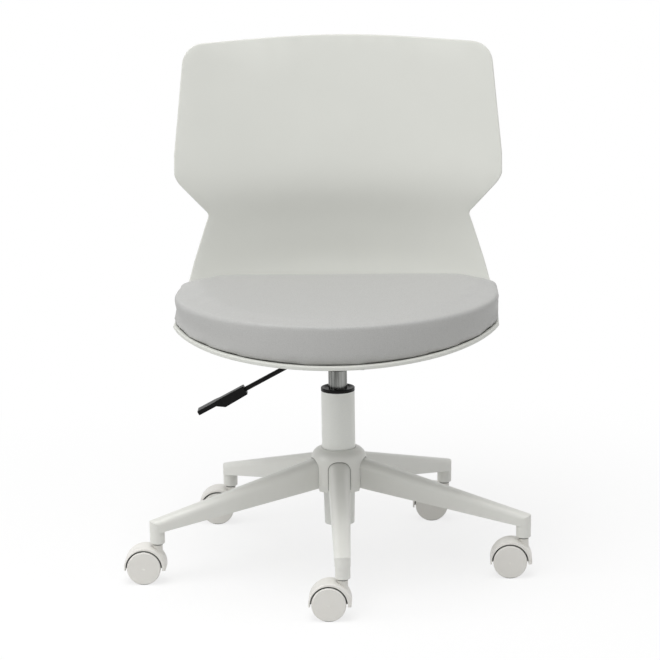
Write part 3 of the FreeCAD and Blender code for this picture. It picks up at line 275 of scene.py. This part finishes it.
FINISHES = {
    "shell_plastic": shell_plastic, "pad_cover": pad_cover, "base_nylon": base_nylon,
    "caster_nylon": caster_nylon, "painted_steel": painted_steel, "bare_steel": bare_steel,
    "zinc_steel": zinc_steel, "black_steel": black_steel, "black_plastic": black_plastic,
    "black_rubber": black_rubber, "plywood": plywood}
for part in frame["record"]["subparts"]:
    piece = frame["nodes"][part["node"]]
    piece.data.materials.clear()
    piece.data.materials.append(FINISHES[part["material_slot"]])


# Seat shell

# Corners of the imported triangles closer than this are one.
SKIN_MERGE = 0.02 * MM
# The waist and the hips stand higher than in the solid: from the foot of the wings up to the upper back.
WAIST_LIFT = 9 * MM
LIFT_STARTS = (424 * MM, 495 * MM)
LIFT_ENDS = (555 * MM, 740 * MM)
# The sides of the seat are narrower than in the solid, by this much at the rim and below the wings.
RIM_DRAW_IN = 3 * MM
RIM_SIDE = (150 * MM, 240 * MM)
RIM_HEIGHT = (400 * MM, 440 * MM)
# Faces that meet at a sharper angle keep their edge.
SHELL_CREASE = math.radians(40)


def smooth_step(low, high, value):
    share = min(max((value - low) / (high - low), 0.0), 1.0)
    return share * share * (3 - 2 * share)


def copy_skin(node, name):
    """A new piece with the skin of a CAD node, its loose triangles merged."""
    skin = bmesh.new()
    skin.from_mesh(frame["nodes"][node].data)
    bmesh.ops.remove_doubles(skin, verts=skin.verts, dist=SKIN_MERGE)
    mesh = bpy.data.meshes.new(name)
    skin.to_mesh(mesh)
    skin.free()
    piece = bpy.data.objects.new(name, mesh)
    bpy.context.scene.collection.objects.link(piece)
    return piece


def make_shell():
    """The moulded shell: the skin of its solid, drawn to the photograph's outline."""
    shell = copy_skin("seat_shell", "moulded_shell")
    mesh = shell.data
    for vertex in mesh.vertices:
        x, _, z = vertex.co
        side = smooth_step(*RIM_SIDE, abs(x)) * (1 - smooth_step(*RIM_HEIGHT, z))
        vertex.co.x -= math.copysign(RIM_DRAW_IN * side, x)
        vertex.co.z += WAIST_LIFT * smooth_step(*LIFT_STARTS, z) * (1 - smooth_step(*LIFT_ENDS, z))
    mesh.attributes.remove(mesh.attributes["custom_normal"])
    mesh.shade_smooth()
    mesh.set_sharp_from_angle(angle=SHELL_CREASE)
    mesh.materials.append(shell_plastic)
    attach(shell, "seat")
    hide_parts("seat_shell")


make_shell()


# Seat pad

PAD_VOXEL = 4.8 * MM
# The skin is taken in, then blown out again by at most the swell.
PAD_TAKE_IN = 1 * MM
PAD_SWELL = 4.5 * MM
PAD_PRESSURE = 4.0
PAD_QUALITY = 6
PAD_FRAMES = 20
PAD_SMOOTHING = 6
PAD_SMOOTHING_FACTOR = 0.5
# The foam is glued where the skin faces down this much, and behind this line where it faces back this much.
PAD_UNDERSIDE = -0.2
PAD_REAR_Y = 130 * MM
PAD_REARWARD = 0.3
# What faces down more than this rests on the shell and isn't smoothed.
PAD_HIDDEN = -0.7
# The solid: its round front from above, the pan under it, which rises to the sides, and the hollow on top.
PAD_ROUND = 247.5 * MM
PAD_CENTRE_Y = 4.5 * MM
PAN_Z, PAN_RISE, PAN_HALF = 359.5 * MM, 27 * MM, 252 * MM
HOLLOW_Z, HOLLOW_Y, HOLLOW_RADIUS = 396 * MM, -30 * MM, 2.1
# The finished top: a trough from front to back, highest at the front, where the photograph shows its crest.
TROUGH_Z, TROUGH_Y, TROUGH_RADIUS, TROUGH_SLOPE = 419 * MM, -243 * MM, 2.8, -0.03
# The crest round it is pushed out and filled up, most between these distances from the outline.
CREST_PUSH_FRONT, CREST_PUSH_SIDE = 4 * MM, 8 * MM
CREST_FILL_FRONT, CREST_FILL_SIDE = 0.65, 0.15
CREST_OUTER = (3 * MM, 12 * MM)
CREST_INNER = (16 * MM, 45 * MM)
CREST_REAR = (30 * MM, 140 * MM)
# The wall between pan and top is stretched with the top, but for these bands below and above.
WALL_FOOT, WALL_HEAD = 4 * MM, 8 * MM
# The foot of the wall is tucked in above the shell's rim.
TUCK = 4 * MM
TUCK_HEIGHT = 22 * MM
TUCK_DEPTH = (8 * MM, 20 * MM)


def form_roll(point):
    """Draws the pad's top up from the solid's hollow to a trough with a crest along front and sides."""
    x, y, z = point
    hollow = HOLLOW_Z + (x * x + (y - HOLLOW_Y) ** 2) / (2 * HOLLOW_RADIUS)
    trough = TROUGH_Z + x * x / (2 * TROUGH_RADIUS) + (y - TROUGH_Y) * TROUGH_SLOPE
    pan = PAN_Z + PAN_RISE * (x / PAN_HALF) ** 2
    height = smooth_step(pan + WALL_FOOT, hollow - WALL_HEAD, z)
    outward = Vector((x, min(y - PAD_CENTRE_Y, 0), 0))
    inset = PAD_ROUND - outward.length
    crest = smooth_step(*CREST_OUTER, inset) * (1 - smooth_step(*CREST_INNER, inset)) * height
    foot = (1 - smooth_step(pan, pan + TUCK_HEIGHT, z)) * (1 - smooth_step(*TUCK_DEPTH, inset))
    sideways = (x / outward.length) ** 2 if outward.length else 0.0
    push = CREST_PUSH_FRONT + (CREST_PUSH_SIDE - CREST_PUSH_FRONT) * sideways
    way = outward.normalized() * (push * crest - TUCK * foot) * (1 - smooth_step(*CREST_REAR, y))
    fill = CREST_FILL_FRONT + (CREST_FILL_SIDE - CREST_FILL_FRONT) * sideways
    way.z = (trough - hollow) * height + fill * max(hollow - z, 0.0) * crest
    return point + way


def blow_up(pad, held):
    """Cloth under air pressure, held where the foam is glued down, and capped so that it stays tight."""
    start = [vertex.co.copy() for vertex in pad.data.vertices]
    group = pad.vertex_groups.new(name="glued")
    group.add(held, 1.0, "REPLACE")
    cloth = pad.modifiers.new("cover", "CLOTH")
    settings = cloth.settings
    settings.quality = PAD_QUALITY
    settings.use_pressure = True
    settings.uniform_pressure_force = PAD_PRESSURE
    settings.vertex_group_mass = group.name
    settings.effector_weights.gravity = 0
    cloth.point_cache.frame_end = PAD_FRAMES
    scene = bpy.context.scene
    for step in range(1, PAD_FRAMES + 1):
        scene.frame_set(step)
    blown = bpy.data.meshes.new_from_object(pad.evaluated_get(bpy.context.evaluated_depsgraph_get()))
    pad.modifiers.remove(cloth)
    pad.vertex_groups.remove(group)
    for vertex, moved in zip(pad.data.vertices, blown.vertices):
        way = moved.co - start[vertex.index]
        if way.length > PAD_SWELL:
            way *= PAD_SWELL / way.length
        vertex.co = start[vertex.index] + way
    bpy.data.meshes.remove(blown)
    scene.frame_set(1)


def make_pad():
    """The seat pad: the skin of its solid, taken in, blown tight over its foam and given its roll."""
    pad = copy_skin("seat_cushion", "seat_pad")
    remesh = pad.modifiers.new("skin", "REMESH")
    remesh.mode = "VOXEL"
    remesh.voxel_size = PAD_VOXEL
    pad.data = bpy.data.meshes.new_from_object(pad.evaluated_get(bpy.context.evaluated_depsgraph_get()))
    pad.modifiers.remove(remesh)

    vertices = pad.data.vertices
    glued = [v.index for v in vertices
             if v.normal.z <= PAD_UNDERSIDE or (v.co.y > PAD_REAR_Y and v.normal.y > PAD_REARWARD)]
    free = sorted(set(range(len(vertices))) - set(glued))
    inward = {index: vertices[index].normal * PAD_TAKE_IN for index in free}
    for index, way in inward.items():
        vertices[index].co -= way
    blow_up(pad, glued)
    skin = bmesh.new()
    skin.from_mesh(pad.data)
    skin.verts.ensure_lookup_table()
    loose = [vert for vert in skin.verts if vert.normal.z > PAD_HIDDEN]
    for _ in range(PAD_SMOOTHING):
        bmesh.ops.smooth_vert(
            skin, verts=loose, factor=PAD_SMOOTHING_FACTOR, use_axis_x=True, use_axis_y=True, use_axis_z=True)
    for vert in skin.verts:
        vert.co = form_roll(vert.co)
    skin.to_mesh(pad.data)
    skin.free()
    pad.data.shade_smooth()
    pad.data.materials.clear()
    pad.data.materials.append(pad_cover)
    rounding = pad.modifiers.new("rounding", "SUBSURF")
    rounding.levels = 1
    rounding.render_levels = 1
    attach(pad, "seat")
    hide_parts("seat_cushion")


make_pad()


# Studio

# The photograph's camera, fitted to its outline: angles in degrees, sizes of the picture in pixels.
CAMERA_AZIMUTH, CAMERA_ELEVATION, CAMERA_ROLL = 1.9, 13.5, -0.826
CAMERA_TARGET = Vector((0, 0, 0.3))
CAMERA_DISTANCE = 5.308
CAMERA_SENSOR_MM = 36
PICTURE_SIZE = 660
PICTURE_FOCAL = 3563.57
PICTURE_CENTRE_X, PICTURE_CENTRE_Y = 337.52, 367.76
# Softboxes: name, place, the point that they face, width and power in watts.
SOFTBOXES = (
    ("overhead_softbox", (-0.3, -0.3, 3.4), (0, 0, 0.4), 2.4, 35),
    ("front_softbox", (-0.5, -1.4, 3.0), (0, 0, 0.4), 2.0, 26),
    ("left_softbox", (-3.0, -1.0, 1.2), (0, 0, 0.35), 2.0, 21),
    ("right_softbox", (3.0, -1.0, 1.2), (0, 0, 0.35), 2.0, 6))
# What the white surroundings give as light, and what they show.
SKY_LIGHT, SKY_SHOWN = 0.473, 1.0
FLOOR_LIGHT, FLOOR_SHOWN = 0.75, 0.98
# The floor's own white takes over from its shadow between these distances.
FLOOR_NEAR, FLOOR_FAR = 0.35, 1.1
FLOOR_WHITE_NEAR, FLOOR_WHITE_FAR = 0.75, 1.0
FLOOR_REACH = 12.0


def place_camera():
    """The photograph's camera, on a long lens."""
    angles = (CAMERA_AZIMUTH, CAMERA_ELEVATION, CAMERA_ROLL)
    azimuth, elevation, roll = (math.radians(angle) for angle in angles)
    back = Vector((math.sin(azimuth) * math.cos(elevation), -math.cos(azimuth) * math.cos(elevation),
                   math.sin(elevation)))
    level = Vector((math.cos(azimuth), math.sin(azimuth), 0))
    upright = back.cross(level)
    right = level * math.cos(roll) + upright * math.sin(roll)
    up = upright * math.cos(roll) - level * math.sin(roll)
    camera = bpy.data.objects.new("camera", bpy.data.cameras.new("camera"))
    turn = Matrix((right, up, back)).transposed().to_4x4()
    camera.matrix_world = Matrix.Translation(CAMERA_TARGET + back * CAMERA_DISTANCE) @ turn
    camera.data.sensor_width = CAMERA_SENSOR_MM
    camera.data.lens = CAMERA_SENSOR_MM * PICTURE_FOCAL / PICTURE_SIZE
    camera.data.shift_x = (PICTURE_SIZE / 2 - PICTURE_CENTRE_X) / PICTURE_SIZE
    camera.data.shift_y = (PICTURE_CENTRE_Y - PICTURE_SIZE / 2) / PICTURE_SIZE
    bpy.context.scene.collection.objects.link(camera)
    bpy.context.scene.camera = camera


def add_lamp(name, place, target, size, power):
    lamp = bpy.data.objects.new(name, bpy.data.lights.new(name, "AREA"))
    lamp.data.shape = "DISK"
    lamp.data.size = size
    lamp.data.energy = power
    lamp.location = place
    lamp.rotation_euler = (Vector(target) - Vector(place)).to_track_quat("-Z", "Y").to_euler()
    bpy.context.scene.collection.objects.link(lamp)


def seen_rays(tree):
    """One for rays that show a thing: straight to the camera, or by a reflection or through glass."""
    ray = add_node(tree, "ShaderNodeLightPath").outputs
    mirrored = add_node(tree, "ShaderNodeMath", {
        0: ray["Is Glossy Ray"], 1: ray["Is Transmission Ray"]}, operation="MAXIMUM").outputs[0]
    shown = add_node(tree, "ShaderNodeMath", {0: ray["Is Camera Ray"], 1: mirrored}, operation="MAXIMUM")
    return shown.outputs[0]


def light_studio():
    """A white sky that lights less than it shows, and four softboxes."""
    world = bpy.data.worlds.new("studio")
    world.use_nodes = True
    tree = world.node_tree
    tree.nodes.clear()
    seen = seen_rays(tree)
    strength = add_node(tree, "ShaderNodeMapRange", {"Value": seen, "To Min": SKY_LIGHT, "To Max": SKY_SHOWN})
    sky = add_node(tree, "ShaderNodeBackground", {
        "Color": (1, 1, 1, 1), "Strength": strength.outputs["Result"]})
    add_node(tree, "ShaderNodeOutputWorld", {"Surface": sky.outputs["Background"]})
    bpy.context.scene.world = world
    for softbox in SOFTBOXES:
        add_lamp(*softbox)


def lay_floor():
    """A white floor that keeps a faint shadow near the chair and runs out into the white behind."""
    material = bpy.data.materials.new("white_floor")
    material.use_nodes = True
    tree = material.node_tree
    tree.nodes.clear()
    seen = seen_rays(tree)
    place = add_node(tree, "ShaderNodeTexCoord").outputs["Object"]
    away = add_node(tree, "ShaderNodeVectorMath", {0: place}, operation="LENGTH")
    near = add_node(tree, "ShaderNodeMapRange", {
        "Value": away.outputs["Value"], "From Min": FLOOR_NEAR, "From Max": FLOOR_FAR,
        "To Min": FLOOR_WHITE_NEAR, "To Max": FLOOR_WHITE_FAR}, interpolation_type="SMOOTHSTEP")
    bounce = add_node(tree, "ShaderNodeMapRange", {
        "Value": seen, "To Min": FLOOR_LIGHT, "To Max": FLOOR_SHOWN})
    paint = add_node(tree, "ShaderNodeBsdfDiffuse", {"Color": bounce.outputs["Result"]})
    glow = add_node(tree, "ShaderNodeEmission", {"Color": (1, 1, 1, 1)})
    share = add_node(tree, "ShaderNodeMath", {0: seen, 1: near.outputs["Result"]}, operation="MULTIPLY")
    mix = add_node(tree, "ShaderNodeMixShader", {
        0: share.outputs[0], 1: paint.outputs["BSDF"], 2: glow.outputs["Emission"]})
    add_node(tree, "ShaderNodeOutputMaterial", {"Surface": mix.outputs["Shader"]})
    mesh = bpy.data.meshes.new("floor")
    corners = [(x * FLOOR_REACH, y * FLOOR_REACH, 0) for x, y in ((-1, -1), (1, -1), (1, 1), (-1, 1))]
    mesh.from_pydata(corners, [], [(0, 1, 2, 3)])
    mesh.materials.append(material)
    floor = bpy.data.objects.new("floor", mesh)
    bpy.context.scene.collection.objects.link(floor)


bpy.context.scene.view_settings.view_transform = "Standard"
place_camera()
light_studio()
lay_floor()
